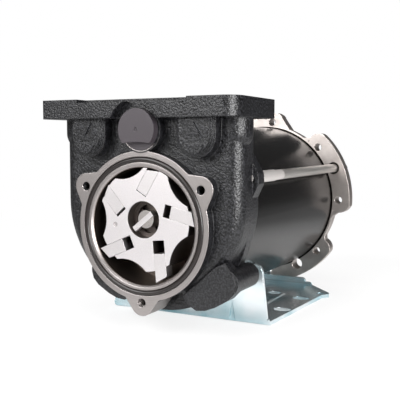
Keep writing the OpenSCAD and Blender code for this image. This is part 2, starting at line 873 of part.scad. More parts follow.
module cable_grommet() color("#1d1d1f") place() on_motor() translate([0, 0, grommet_z]) {
    pipe(grommet_body_r, grommet_hole_r, barrel_back, cover_back + grommet_lip);
    pipe(grommet_r, grommet_hole_r, cover_back, cover_back + grommet_lip);
}

// A screw along Y whose head lies in front of y = 0, with its tip at y = reach
module screw(r, head_r, head_t, reach) {
    difference() {
        union() {
            bar(r, 0, reach);
            bar(head_r, -head_t, 0);
        }
        translate([0, -head_t, 0]) rotate([90, 0, 0])
            cylinder(r = head_r * screw_socket_share, h = head_t, center = true, $fn = 6);
    }
}

module cover_screws() color("#c4c6c8") place() on_motor()
    for (d = screw_dirs)
        translate([screw_pitch_r * cos(d), cover_back, screw_pitch_r * sin(d)]) mirror([0, 1, 0])
            screw(screw_r, screw_head_r, screw_head_t, cover_t + screw_depth - over);

module flange_screws() color("#d0d2d4") place() on_motor() mirrored()
    translate([flange_screw[0], barrel_back, flange_screw[1]])
        screw(small_screw_r, small_head_r, small_head_t, bell_t + cover_t);

module tie_rods() color("#a29d99") place() mirrored() translate([rod_x, 0, rod_z]) {
    bar(rod_r, body_back - rod_hole_depth + over, cover_back + rod_tail);
    bar(rod_thick_r, body_back, body_back + rod_thick_len);
}

module tie_rod_washers() color("#b4b6b8") place() mirrored() translate([rod_x, 0, rod_z])
    pipe(washer_r, rod_r + seat_gap, cover_back, cover_back + washer_t);

module tie_rod_nuts() color("#b4b6b8") place() mirrored() translate([rod_x, cover_back + washer_t, rod_z])
    difference() {
        rotate([-90, 0, 0]) cylinder(d = nut_flats / cos(30), h = nut_t, $fn = 6);
        bar(rod_r + seat_gap, -over, nut_t + over);
    }

// Foot

module bend(y, turn) {
    translate([y, foot_low + bend_r]) intersection() {
        difference() {
            circle(r = bend_r);
            circle(r = bend_r - sheet_t);
        }
        translate([turn < 0 ? -bend_r : 0, -bend_r]) square(bend_r);
    }
}

// Side view of the bent sheet, with Y across and Z up
module sheet_profile() {
    translate([foot_front + bend_r, foot_low]) square([foot_back - foot_front - 2 * bend_r, sheet_t]);
    bend(foot_front + bend_r, -1);
    bend(foot_back - bend_r, 1);
    for (y = [foot_front, foot_back - sheet_t])
        translate([y, foot_low + bend_r]) square([sheet_t, drum_r]);
}

module front_wall_outline() {
    polygon([
        [-wall_low_x, foot_low - over], [wall_low_x, foot_low - over], [wall_top_x, wall_tip_z],
        [wall_tip_x, wall_tip_z + wall_tip_r], [0, wall_tip_z + wall_tip_r],
        [-wall_tip_x, wall_tip_z + wall_tip_r], [-wall_top_x, wall_tip_z]
    ]);
    for (s = sides) translate([s * wall_tip_x, wall_tip_z]) circle(r = wall_tip_r);
}

module rear_wall_outline() {
    top = foot_low + rear_wall_h;
    translate([-rear_wall_x, foot_low - over]) square([2 * rear_wall_x, rear_wall_h - rear_wall_tip_r + over]);
    translate([rear_wall_tip_r - rear_wall_x, foot_low])
        square([2 * (rear_wall_x - rear_wall_tip_r), rear_wall_h]);
    for (s = sides) translate([s * (rear_wall_x - rear_wall_tip_r), top - rear_wall_tip_r])
        circle(r = rear_wall_tip_r);
}

module base_outline() {
    half = [for (p = base_share) [p[0] * slot_x_reach, foot_front + p[1] * foot_reach]];
    polygon(concat(half, [for (i = [len(half) - 1:-1:0]) [-half[i][0], half[i][1]]]));
}
slot_x_reach = slot_span_x / 2 + foot_slot_len * 3 / 4;
foot_reach = foot_back - foot_front;

module foot_bracket() color("#c4d2dc") place() difference() {
    union() {
        intersection() {
            rotate([90, 0, 90]) translate([0, 0, -body_w])
                linear_extrude(height = 2 * body_w) sheet_profile();
            union() {
                slab(foot_front - over, foot_front + bend_r) front_wall_outline();
                slab(foot_back - bend_r, foot_back + over) rear_wall_outline();
                translate([0, 0, foot_low - over]) linear_extrude(height = bend_r + over) base_outline();
            }
        }
        for (s = sides) translate([s * dart_x - gusset_t / 2, 0, 0]) rotate([90, 0, 90])
            linear_extrude(height = gusset_t) polygon([
                [foot_front + over, foot_low + over],
                [foot_front + sheet_t + gusset_d, foot_low + over],
                [foot_front + over, foot_low + dart_h]
            ]);
        for (s = sides) translate([s * rib_x, 0, foot_low + sheet_t + rib_rise - rib_r])
            bar(rib_r, rib_y, rib_y + rib_len);
    }
    on_motor() bar(barrel_r + saddle_gap, foot_front - over, foot_back + over);
    for (s = sides) {
        translate([s * dart_x, foot_front, foot_low - over])
            cylinder(r1 = dart_r, r2 = 0, h = dart_h);
        for (t = sides) translate([s * slot_span_x / 2, slots_back + t * slot_span_y / 2, foot_low - over])
            linear_extrude(height = sheet_t + 2 * over) {
                square([foot_slot_len - foot_slot_w, foot_slot_w], center = true);
                for (u = sides) translate([u * (foot_slot_len - foot_slot_w) / 2, 0])
                    circle(r = foot_slot_w / 2);
            }
        translate([s * base_hole_x, base_hole_y, foot_low - over])
            cylinder(r = base_hole_r, h = sheet_t + 2 * over);
        translate([s * end_hole_x, end_hole_y, foot_low - over])
            cylinder(r = end_hole_r, h = sheet_t + 2 * over);
    }
}

pump_body();
cover_o_ring();
bypass_cap();
bypass_cap_o_ring();
bypass_spring();
bypass_poppet();
rotor();
vane(0);  // vane_1
vane(1);  // vane_2
vane(2);  // vane_3
vane(3);  // vane_4
vane(4);  // vane_5
drive_key();
shaft_seal();
front_bearing_outer();
front_bearing_inner();
armature_shaft();
armature_core();
armature_winding();
commutator();
motor_barrel();
magnets();
brush_plate();
brush_holders();
brush_spring_right();
brush_spring_left();
brush_right();
brush_left();
end_bell();
rear_bush();
thrust_ball();
end_cover();
cable_grommet();
cover_screws();
flange_screws();
tie_rods();
tie_rod_nuts();
tie_rod_washers();
foot_bracket();
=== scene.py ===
# Diesel transfer pump, dressed around its CAD model.
# Metres throughout: +X right, +Y back along the motor, +Z up, the floor at z = 0.
import math
import bmesh
import bpy
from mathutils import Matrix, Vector


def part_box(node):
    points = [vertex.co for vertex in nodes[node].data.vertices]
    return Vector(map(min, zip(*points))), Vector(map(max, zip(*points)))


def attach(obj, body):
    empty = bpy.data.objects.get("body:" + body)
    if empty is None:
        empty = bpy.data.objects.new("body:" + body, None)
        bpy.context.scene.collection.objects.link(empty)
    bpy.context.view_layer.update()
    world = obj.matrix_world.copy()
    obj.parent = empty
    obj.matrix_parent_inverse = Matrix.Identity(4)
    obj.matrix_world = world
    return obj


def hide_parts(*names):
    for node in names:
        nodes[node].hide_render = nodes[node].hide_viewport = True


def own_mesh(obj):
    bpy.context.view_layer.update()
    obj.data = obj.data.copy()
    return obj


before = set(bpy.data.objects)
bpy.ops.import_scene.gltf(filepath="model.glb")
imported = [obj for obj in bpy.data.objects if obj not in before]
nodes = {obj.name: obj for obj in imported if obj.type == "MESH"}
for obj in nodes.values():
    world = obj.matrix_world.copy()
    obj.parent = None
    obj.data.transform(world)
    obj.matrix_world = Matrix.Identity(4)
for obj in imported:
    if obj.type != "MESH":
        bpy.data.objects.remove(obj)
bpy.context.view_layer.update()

mm = 0.001
pump = {                          # places taken from the CAD model
    "ringFace": -103.5 * mm,      # machined ring's face
    "chamberAxis": 61.5 * mm,     # height of the chamber's axis
    "motorAxis": 65.1 * mm,       # height of the motor's axis
    "chamberRadius": 32.5 * mm,
    "portX": 34.3 * mm,
    "portY": -88 * mm,
    "arrowHeight": 115 * mm,
    "capAxis": 114.5 * mm,
    "capRadius": 11.3 * mm,
    "rodX": 54.5 * mm,
    "rodZ": 88.5 * mm,
    "rodSleeveEnd": -35.5 * mm,
}


def linear(hexColour):
    # sRGB hex to the linear values that the shader sockets take
    parts = [int(hexColour[i:i + 2], 16) / 255 for i in (1, 3, 5)]
    return [p / 12.92 if p <= 0.04045 else ((p + 0.055) / 1.055) ** 2.4 for p in parts] + [1]


def addNode(tree, kind, settings=None, **links):
    # Settings are the node's own properties. Links are sockets by name, or by number as s0, s1;
    # each takes a value, a hex colour, a socket, or a node, which stands for its first live output.
    node = tree.nodes.new(kind)
    for name, value in (settings or {}).items():
        setattr(node, name, value)
    for name, value in links.items():
        if name[0] == "s" and name[1:].isdigit():
            socket = node.inputs[int(name[1:])]
        else:
            socket = node.inputs[name.replace("_", " ")]
        if isinstance(value, bpy.types.Node):
            value = next(output for output in value.outputs if output.enabled)
        if isinstance(value, bpy.types.NodeSocket):
            tree.links.new(value, socket)
        elif isinstance(value, str):
            socket.default_value = linear(value)
        else:
            socket.default_value = value
    return node


times, plus, minus, most = [("ShaderNodeMath", {"operation": operation})
                            for operation in ("MULTIPLY", "ADD", "SUBTRACT", "MAXIMUM")]


def chain(tree, link, values):
    # joins the values one after another through nodes of one kind with one group of settings
    kind, settings = link
    joined = values[0]
    for value in values[1:]:
        joined = addNode(tree, kind, settings, s0=joined, s1=value)
    return joined


def zone(tree, *tests):
    # 1 where every test holds, else 0; a test is a value, a comparison and a limit
    return chain(tree, times, [
        addNode(tree, "ShaderNodeMath", {"operation": comparison}, s0=value, s1=limit)
        for value, comparison, limit in tests])


def distanceFrom(tree, centre, across, along):
    # distance from a centre in the plane of two coordinates
    spot = addNode(tree, "ShaderNodeCombineXYZ", X=across, Y=along)
    return addNode(tree, "ShaderNodeVectorMath", {"operation": "DISTANCE"}, s0=spot, s1=(*centre, 0))


patterns = {                      # noise cells in a metre; the comment is the real size of one
    "patch": 45.0,                # 22 mm
    "castGrain": 950.0,           # 1 mm, drawn coarser than real so that it shows
    "castWaves": 160.0,           # 6 mm
    "castRings": 3500.0,          # 0.3 mm
    "steelSpeck": 1400.0,         # 0.7 mm
    "rodLines": 1100.0,           # 0.9 mm wide, and far longer
    "flangeGrain": 900.0,         # 1.1 mm
    "flangePatch": 70.0,          # 14 mm
    "zincClouds": 30.0,           # 33 mm
    "zincRolled": 260.0,          # 4 mm across, 0.3 mm along the foot
}


def newMaterial(name):
    material = bpy.data.materials.new(name)
    material.use_nodes = True
    tree = material.node_tree
    tree.nodes.clear()
    place = addNode(tree, "ShaderNodeTexCoord").outputs["Object"]
    return material, tree, place


def finishSurface(tree, colour, metallic, roughness, height, depth, rounding, ior=1.5):
    # a surface with the given relief, depth in metres, over edges rounded by the given radius
    edge = addNode(tree, "ShaderNodeBevel", {"samples": 6}, Radius=rounding)
    bump = addNode(tree, "ShaderNodeBump", Strength=1.0, Distance=depth, Height=height, Normal=edge)
    shader = addNode(tree, "ShaderNodeBsdfPrincipled", Base_Color=colour, Metallic=metallic,
                     Roughness=roughness, IOR=ior, Normal=bump)
    addNode(tree, "ShaderNodeOutputMaterial", Surface=shader)


def plainFinish(name, light, dark, metallic, roughness, size, depth, rounding, ior=1.5):
    # a surface of one stuff, whose colour and gloss drift a little with its grain
    drift = 0.06
    material, tree, place = newMaterial(name)
    grain = addNode(tree, "ShaderNodeTexNoise", Vector=place, Scale=1 / size, Detail=3.0, Roughness=0.6)
    patch = addNode(tree, "ShaderNodeTexNoise", Vector=place, Scale=patterns["patch"], Detail=2.0)
    colour = addNode(tree, "ShaderNodeMix", {"data_type": "RGBA"}, s0=patch, s6=dark, s7=light)
    gloss = addNode(tree, "ShaderNodeMapRange", Value=grain, To_Min=roughness - drift,
                    To_Max=roughness + drift)
    finishSurface(tree, colour, metallic, gloss, grain, depth, rounding, ior)
    return material


print("camera and studio")
view = {
    "place": (202.27 * mm, -419.80 * mm, 108.17 * mm),
    "yaw": 27.674,            # to the left of +Y
    "pitch": -4.883,          # below the horizon
    "lens": 61.93,
    "sensor": 36,
    "near": 0.01,
    "far": 20,
}
camera = bpy.data.objects.new("camera", bpy.data.cameras.new("camera"))
bpy.context.collection.objects.link(camera)
bpy.context.scene.camera = camera
camera.data.lens = view["lens"]
camera.data.sensor_width = view["sensor"]
camera.data.clip_start = view["near"]
camera.data.clip_end = view["far"]
camera.location = view["place"]
camera.rotation_euler = (math.radians(90 + view["pitch"]), 0, math.radians(view["yaw"]))

studio = {
    "floorHalf": 6.0,
    "floorColour": "#ffffff",
    "floorLift": 0.75,            # glow towards the camera, which grows to 1 between these distances
    "liftFrom": 0.22,
    "liftTo": 0.6,
    "floorGlossNear": 0.85,       # how dark the floor is in reflections, near the part and far from it
    "floorGlossFar": 0.3,
    "glossFrom": 0.14,
    "glossTo": 0.32,
    "skyDiffuse": 0.5,
    "skyGloss": 0.07,
    "lamps": [
        # name, place, aim, size, power
        ("keyLamp", (-0.42, -1.12, 0.7), (0, -0.05, 0.06), (0.9, 0.9), 17.5),
        ("rightStrip", (1.0, -0.62, 0.25), (0, 0, 0.07), (0.5, 0.8), 23.0),
        ("topLamp", (0.1, -0.3, 1.3), (0, -0.05, 0.06), (0.7, 0.7), 4.0),
    ],
}
for name, place, aim, size, power in studio["lamps"]:
    lamp = bpy.data.lights.new(name, "AREA")
    lamp.shape = "RECTANGLE"
    lamp.size, lamp.size_y = size
    lamp.energy = power
    holder = bpy.data.objects.new(name, lamp)
    bpy.context.collection.objects.link(holder)
    holder.location = place
    holder.rotation_euler = (Vector(aim) - Vector(place)).to_track_quat("-Z", "Y").to_euler()

world = bpy.data.worlds.new("studioSky")
bpy.context.scene.world = world
world.use_nodes = True
world.cycles.sampling_method = "NONE"
sky = world.node_tree
sky.nodes.clear()
rays = addNode(sky, "ShaderNodeLightPath").outputs
skyLevel = chain(sky, most, [
    chain(sky, times, [rays["Is Glossy Ray"], studio["skyGloss"]]),
    chain(sky, times, [rays["Is Diffuse Ray"], studio["skyDiffuse"]]),
    rays["Is Camera Ray"],
    rays["Is Transmission Ray"],
])
background = addNode(sky, "ShaderNodeBackground", Color=(1, 1, 1, 1), Strength=skyLevel)
addNode(sky, "ShaderNodeOutputWorld", Surface=background)

half = studio["floorHalf"]
floorMesh = bpy.data.meshes.new("floor")
floorMesh.from_pydata([(-half, -half, 0), (half, -half, 0), (half, half, 0), (-half, half, 0)], [],
                      [(0, 1, 2, 3)])
floor = bpy.data.objects.new("floor", floorMesh)
bpy.context.collection.objects.link(floor)
floorPaper, tree, place = newMaterial("whitePaper")
rays = addNode(tree, "ShaderNodeLightPath").outputs
far = addNode(tree, "ShaderNodeVectorMath", {"operation": "LENGTH"}, s0=place)
glossDark = addNode(tree, "ShaderNodeMapRange", Value=far, From_Min=studio["glossFrom"],
                    From_Max=studio["glossTo"], To_Min=1 - studio["floorGlossNear"],
                    To_Max=1 - studio["floorGlossFar"])
mirrored = chain(tree, times, [rays["Is Glossy Ray"], glossDark])
shade = addNode(tree, "ShaderNodeMix", {"data_type": "RGBA"}, s0=mirrored, s6=studio["floorColour"],
                s7=(0, 0, 0, 1))
paper = addNode(tree, "ShaderNodeBsdfDiffuse", Color=shade)
glow = addNode(tree, "ShaderNodeEmission", Color=(1, 1, 1, 1), Strength=1.0)
lifted = addNode(tree, "ShaderNodeMapRange", Value=far, From_Min=studio["liftFrom"],
                 From_Max=studio["liftTo"], To_Min=studio["floorLift"], To_Max=1.0)
lift = chain(tree, times, [rays["Is Camera Ray"], lifted])
floorShader = addNode(tree, "ShaderNodeMixShader", s0=lift, s1=paper, s2=glow)
addNode(tree, "ShaderNodeOutputMaterial", Surface=floorShader)
floorMesh.materials.append(floorPaper)
bpy.context.scene.view_settings.view_transform = "Standard"

print("materials")
casting = {                       # where the casting is turned bare, and how its paint looks
    "faceDepth": 0.3 * mm,        # how far from the ring's face still counts as the face
    "faceRadius": 50.5 * mm,
    "boreOver": 0.3 * mm,
    "boreDepth": 24.4 * mm,
    "grooveRadius": 39 * mm,
    "grooveDepth": 3 * mm,
    "lugTop": 20.5 * mm,          # the lowest tapped lug
    "lugCentre": 19 * mm,
    "lugRadius": 11 * mm,
    "lugDepth": 17.5 * mm,
    "portRadius": 12.3 * mm,
    "portFloor": 116.5 * mm,
    "rimOver": (0.15 * mm, 0.65 * mm),       # the cap seat's machined rim past the cap's edge, left bare only in its lower arc as a painted highlight
    "rimDrop": 7.5 * mm,
    "arrowZone": 7.2 * mm,
    "arrowCalm": 0.6,             # how much less rough the paint is at the cast arrows
    "waveShare": 0.7,
    "ringShare": 0.06,
    "speckFrom": 0.42,            # the grain's heights between which its colour turns
    "speckTo": 0.62,
    "relief": 0.33 * mm,
    "rounding": 0.7 * mm,
    "arrowRounding": 0.15 * mm,
}


def castingFinish():
    # Cast iron in black textured paint, with the ring, chamber, ports and seats turned bare.
    # The paint's grain glitters, and the turned faces show fine rings.
    material, tree, place = newMaterial("paintedCastIron")
    x, y, z = addNode(tree, "ShaderNodeSeparateXYZ", Vector=place).outputs
    eitherX = addNode(tree, "ShaderNodeMath", {"operation": "ABSOLUTE"}, s0=x)
    fromChamber = distanceFrom(tree, (0, pump["chamberAxis"]), x, z)
    fromLug = distanceFrom(tree, (0, casting["lugCentre"]), x, z)
    fromCap = distanceFrom(tree, (0, pump["capAxis"]), x, z)
    fromPort = distanceFrom(tree, (pump["portX"], pump["portY"]), eitherX, y)
    fromArrow = distanceFrom(tree, (pump["portX"], pump["arrowHeight"]), eitherX, z)

    ringFace = zone(tree, (y, "GREATER_THAN", pump["ringFace"] - casting["faceDepth"]),
                    (y, "LESS_THAN", pump["ringFace"] + casting["faceDepth"]),
                    (fromChamber, "LESS_THAN", casting["faceRadius"]))
    bore = zone(tree, (fromChamber, "LESS_THAN", pump["chamberRadius"] + casting["boreOver"]),
                (y, "LESS_THAN", pump["ringFace"] + casting["boreDepth"]))
    groove = zone(tree, (fromChamber, "LESS_THAN", casting["grooveRadius"]),
                  (y, "LESS_THAN", pump["ringFace"] + casting["grooveDepth"]))
    lowLug = zone(tree, (z, "LESS_THAN", casting["lugTop"]), (fromLug, "LESS_THAN", casting["lugRadius"]),
                  (y, "LESS_THAN", pump["ringFace"] + casting["lugDepth"]))
    ports = zone(tree, (fromPort, "LESS_THAN", casting["portRadius"]),
                 (z, "GREATER_THAN", casting["portFloor"]))
    # partly a painted highlight: the seat's real machined rim is bare only in its lower arc, where it
    # catches the light
    capRimHighlight = zone(tree, (fromCap, "GREATER_THAN", pump["capRadius"] + casting["rimOver"][0]),
                  (fromCap, "LESS_THAN", pump["capRadius"] + casting["rimOver"][1]),
                  (z, "LESS_THAN", pump["capAxis"] - casting["rimDrop"]))
    bare = chain(tree, most, [ringFace, bore, groove, lowLug, ports, capRimHighlight])
    arrows = zone(tree, (fromArrow, "LESS_THAN", casting["arrowZone"]))

    grain = addNode(tree, "ShaderNodeTexNoise", Vector=place, Scale=patterns["castGrain"], Detail=2.0,
                    Roughness=0.5)
    waves = addNode(tree, "ShaderNodeTexNoise", Vector=place, Scale=patterns["castWaves"], Detail=2.0)
    rings = addNode(tree, "ShaderNodeTexNoise", {"noise_dimensions": "1D"}, W=fromChamber,
                    Scale=patterns["castRings"], Detail=2.0)
    calm = chain(tree, most, [bare, chain(tree, times, [arrows, casting["arrowCalm"]])])
    textured = chain(tree, minus, [1.0, calm])
    painted = chain(tree, plus, [grain, chain(tree, times, [waves, casting["waveShare"]])])
    height = chain(tree, plus, [chain(tree, times, [painted, textured]),
                                chain(tree, times, [rings, bare, casting["ringShare"]])])
    rounding = addNode(tree, "ShaderNodeMapRange", Value=arrows, To_Min=casting["rounding"],
                       To_Max=casting["arrowRounding"])

    specks = addNode(tree, "ShaderNodeMapRange", Value=grain, From_Min=casting["speckFrom"],
                     From_Max=casting["speckTo"])
    paint = addNode(tree, "ShaderNodeMix", {"data_type": "RGBA"}, s0=specks, s6="#020203", s7="#242427")
    metal = addNode(tree, "ShaderNodeMix", {"data_type": "RGBA"}, s0=rings, s6="#938d8b", s7="#b8b2b0")
    metal = addNode(tree, "ShaderNodeMix", {"data_type": "RGBA"}, s0=bore, s6=metal, s7="#6a615b")
    colour = addNode(tree, "ShaderNodeMix", {"data_type": "RGBA"}, s0=bare, s6=paint, s7=metal)
    gloss = addNode(tree, "ShaderNodeMapRange", Value=bare, To_Min=0.34, To_Max=0.38)
    finishSurface(tree, colour, bare, gloss, height, casting["relief"], rounding)
    return material


def turnedSteel(name, light, dark, roughness, pitch, face, recessShade="#6f6864"):
    # Steel faced on a lathe: fine rings about the motor's axis, and painted shade, a darker colour, in the
    # recesses behind its face
    shadeFrom, shadeTo, drift, ringShare = 0.15 * mm, 0.9 * mm, 0.05, 0.5
    material, tree, place = newMaterial(name)
    x, y, z = addNode(tree, "ShaderNodeSeparateXYZ", Vector=place).outputs
    rings = addNode(tree, "ShaderNodeTexNoise", {"noise_dimensions": "1D"},
                    W=distanceFrom(tree, (0, pump["motorAxis"]), x, z), Scale=1 / pitch, Detail=2.0)
    speck = addNode(tree, "ShaderNodeTexNoise", Vector=place, Scale=patterns["steelSpeck"], Detail=3.0)
    height = chain(tree, plus, [chain(tree, times, [rings, ringShare]), speck])
    # painted shade: the colour turns darker deeper than the face, where bores and slots lie in shade
    shadedRecess = addNode(tree, "ShaderNodeMapRange", Value=y, From_Min=face + shadeFrom,
                     From_Max=face + shadeTo)
    colour = addNode(tree, "ShaderNodeMix", {"data_type": "RGBA"}, s0=speck, s6=dark, s7=light)
    colour = addNode(tree, "ShaderNodeMix", {"data_type": "RGBA"}, s0=shadedRecess, s6=colour, s7=recessShade)
    gloss = addNode(tree, "ShaderNodeMapRange", Value=rings, To_Min=roughness - drift,
                    To_Max=roughness + drift)
    finishSurface(tree, colour, 1.0, gloss, height, depth=0.02 * mm, rounding=0.25 * mm)
    return material


def rodFinish():
    # Drawn steel rod: fine lines along it, and a brighter turned sleeve at its front end
    material, tree, place = newMaterial("drawnRod")
    y = addNode(tree, "ShaderNodeSeparateXYZ", Vector=place).outputs[1]
    drawn = addNode(tree, "ShaderNodeMapping", Vector=place, Scale=(1.0, 0.02, 1.0))
    lines = addNode(tree, "ShaderNodeTexNoise", Vector=drawn, Scale=patterns["rodLines"], Detail=2.0)
    sleeve = zone(tree, (y, "LESS_THAN", pump["rodSleeveEnd"]))
    colour = addNode(tree, "ShaderNodeMix", {"data_type": "RGBA"}, s0=lines, s6="#8d8883", s7="#dedad6")
    colour = addNode(tree, "ShaderNodeMix", {"data_type": "RGBA"}, s0=sleeve, s6=colour, s7="#d6d1ce")
    gloss = addNode(tree, "ShaderNodeMapRange", Value=sleeve, To_Min=0.33, To_Max=0.6)
    finishSurface(tree, colour, 0.8, gloss, lines, depth=0.03 * mm, rounding=0.2 * mm)
    return material


def flangeFinish():
    # Die-cast aluminium, dull with small cold shuts, with painted shade in a dark ring where the rods pass
    # through and a painted shadow in the seam round the barrel
    rodShadeFrom, rodShadeTo, seamShadeOver, seamShadeBehind = 4.1 * mm, 4.7 * mm, 0.9 * mm, 2.0 * mm
    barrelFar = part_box("motor_barrel")[1]
    material, tree, place = newMaterial("dieCastAluminium")
    x, y, z = addNode(tree, "ShaderNodeSeparateXYZ", Vector=place).outputs
    eitherX = addNode(tree, "ShaderNodeMath", {"operation": "ABSOLUTE"}, s0=x)
    grain = addNode(tree, "ShaderNodeTexNoise", Vector=place, Scale=patterns["flangeGrain"], Detail=3.0,
                    Roughness=0.6)
    patch = addNode(tree, "ShaderNodeTexNoise", Vector=place, Scale=patterns["flangePatch"], Detail=5.0,
                    Roughness=0.65)
    # painted shade: a dark ring round each rod's hole, standing for a wider gap in shadow
    clearOfRodShade = addNode(tree, "ShaderNodeMapRange",
                    Value=distanceFrom(tree, (pump["rodX"], pump["rodZ"]), eitherX, z),
                    From_Min=rodShadeFrom, From_Max=rodShadeTo)
    # painted shadow: a dark band on the flange's face round the barrel, where the seam lies in shade
    seamShade = zone(tree, (y, "LESS_THAN", barrelFar[1] + seamShadeBehind),
                (distanceFrom(tree, (0, pump["motorAxis"]), x, z), "LESS_THAN", barrelFar[0] + seamShadeOver))
    colour = addNode(tree, "ShaderNodeMix", {"data_type": "RGBA"}, s0=patch, s6="#a9a09b", s7="#ebe3de")
    colour = addNode(tree, "ShaderNodeMix", {"data_type": "RGBA"}, s0=clearOfRodShade, s6="#2b2623", s7=colour)
    colour = addNode(tree, "ShaderNodeMix", {"data_type": "RGBA"}, s0=seamShade, s6=colour, s7="#1d1917")
    gloss = addNode(tree, "ShaderNodeMapRange", Value=patch, To_Min=0.34, To_Max=0.5)
    finishSurface(tree, colour, 1.0, gloss, grain, depth=0.06 * mm, rounding=0.5 * mm)
    return material


def zincFinish():
    # Zinc-plated sheet with a bluish passivation: bright, with faint clouds of cyan
    cloudEdges = [(0.36, "#a6ccd5"), (0.6, "#e9f0f3")]
    material, tree, place = newMaterial("zincPlatedSheet")
    clouds = addNode(tree, "ShaderNodeTexNoise", Vector=place, Scale=patterns["zincClouds"], Detail=3.0)
    rolling = addNode(tree, "ShaderNodeMapping", Vector=place, Scale=(1.0, 12.0, 1.0))
    rolled = addNode(tree, "ShaderNodeTexNoise", Vector=rolling, Scale=patterns["zincRolled"], Detail=3.0)
    tint = addNode(tree, "ShaderNodeValToRGB", Fac=clouds)
    for element, (position, colour) in zip(tint.color_ramp.elements, cloudEdges):
        element.position, element.color = position, linear(colour)
    gloss = addNode(tree, "ShaderNodeMapRange", Value=rolled, To_Min=0.1, To_Max=0.24)
    finishSurface(tree, tint, 0.8, gloss, rolled, depth=0.02 * mm, rounding=0.5 * mm)
    return material


castIron = castingFinish()
# painted shade behind the given face: the rotor's own face, and 4 mm behind the key's front for the key
# and vanes
sinteredSteel = turnedSteel("sinteredSteel", "#ebe7e8", "#d9d4d4", 0.45, 0.35 * mm,
                            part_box("rotor")[0][1])
groundSteel = turnedSteel("groundSteel", "#efebec", "#dfdad9", 0.40, 0.25 * mm,
                          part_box("drive_key")[0][1] + 4 * mm, "#b3aca8")
rodSteel = rodFinish()
dieCast = flangeFinish()
zincSheet = zincFinish()
# name, light and dark colour, metallic, roughness, the grain's size and depth, and the edges' rounding
barSteel = plainFinish("drawnSteel", "#dcd7d3", "#bfb9b4", 1.0, 0.3, 0.8 * mm, 0.01 * mm, 0.2 * mm)
sealRubber = plainFinish("nitrileRubber", "#1e1715", "#120e0d", 0.0, 0.32, 0.6 * mm, 0.008 * mm, 0.1 * mm)
capPlastic = plainFinish("glassFilledNylon", "#3b363a", "#302b2f", 0.0, 0.42, 0.5 * mm, 0.03 * mm,
                         0.4 * mm)
barrelPaint = plainFinish("satinBlackPaint", "#070606", "#040303", 0.0, 0.24, 1.4 * mm, 0.015 * mm,
                          0.6 * mm, ior=1.55)
zincFastener = plainFinish("zincPlatedSteel", "#d4d7da", "#b2b6b9", 1.0, 0.3, 0.6 * mm, 0.01 * mm,
                           0.2 * mm)
bronze = plainFinish("sinteredBronze", "#b08a4c", "#8f6c38", 1.0, 0.4, 0.5 * mm, 0.02 * mm, 0.2 * mm)
copperWire = plainFinish("enamelledCopper", "#b1622e", "#7e4019", 1.0, 0.3, 0.7 * mm, 0.08 * mm, 0.2 * mm)
sheetSteel = plainFinish("laminatedSteel", "#7b7d80", "#5d5f62", 1.0, 0.45, 0.5 * mm, 0.03 * mm, 0.1 * mm)
ferrite = plainFinish("sinteredFerrite", "#3a3838", "#272626", 0.0, 0.6, 0.8 * mm, 0.04 * mm, 0.4 * mm)
boardResin = plainFinish("phenolicBoard", "#6d4d2c", "#51371d", 0.0, 0.5, 0.9 * mm, 0.02 * mm, 0.2 * mm)
carbonBlock = plainFinish("pressedCarbon", "#2c2c30", "#1d1d20", 0.0, 0.45, 0.4 * mm, 0.02 * mm, 0.2 * mm)

finishes = {
    castIron: ["pump_body"],
    sinteredSteel: ["rotor"],
    groundSteel: ["drive_key"] + [f"vane_{i}" for i in range(1, 6)],
    sealRubber: ["cover_o_ring", "bypass_cap_o_ring", "shaft_seal", "cable_grommet"],
    capPlastic: ["bypass_cap"],
    rodSteel: ["tie_rods"],
    barSteel: ["armature_shaft", "bypass_spring", "front_bearing_outer", "front_bearing_inner",
               "thrust_ball", "brush_spring_right", "brush_spring_left"],
    bronze: ["bypass_poppet", "rear_bush", "brush_holders"],
    copperWire: ["armature_winding", "commutator"],
    sheetSteel: ["armature_core"],
    barrelPaint: ["motor_barrel"],
    ferrite: ["magnets"],
    boardResin: ["brush_plate"],
    carbonBlock: ["brush_right", "brush_left"],
    dieCast: ["end_bell", "end_cover"],
    zincFastener: ["cover_screws", "flange_screws", "tie_rod_nuts", "tie_rod_washers"],
    zincSheet: ["foot_bracket"],
}
for material, names in finishes.items():
    for name in names:
        nodes[name].data.materials.clear()
        nodes[name].data.materials.append(material)

print("threads and springs")


def addSockets(tree, inputs):
    # named inputs of a geometry tree, each with its type and default
    for name, (kind, value) in inputs.items():
        socket = tree.interface.new_socket(name=name, in_out="INPUT", socket_type="NodeSocket" + kind)
        if value is not None:
            socket.default_value = value
    tree.interface.new_socket(name="Geometry", in_out="OUTPUT", socket_type="NodeSocketGeometry")
    return addNode(tree, "NodeGroupInput").outputs


def finishGeometry(tree, points, shape, turn, material):
    # copies of the shape on the points, made real and painted
    copies = addNode(tree, "GeometryNodeInstanceOnPoints", Points=points, Instance=shape, Rotation=turn)
    real = addNode(tree, "GeometryNodeRealizeInstances", Geometry=copies)
    painted = addNode(tree, "GeometryNodeSetMaterial", Geometry=real, Material=material)
    addNode(tree, "NodeGroupOutput", Geometry=painted)


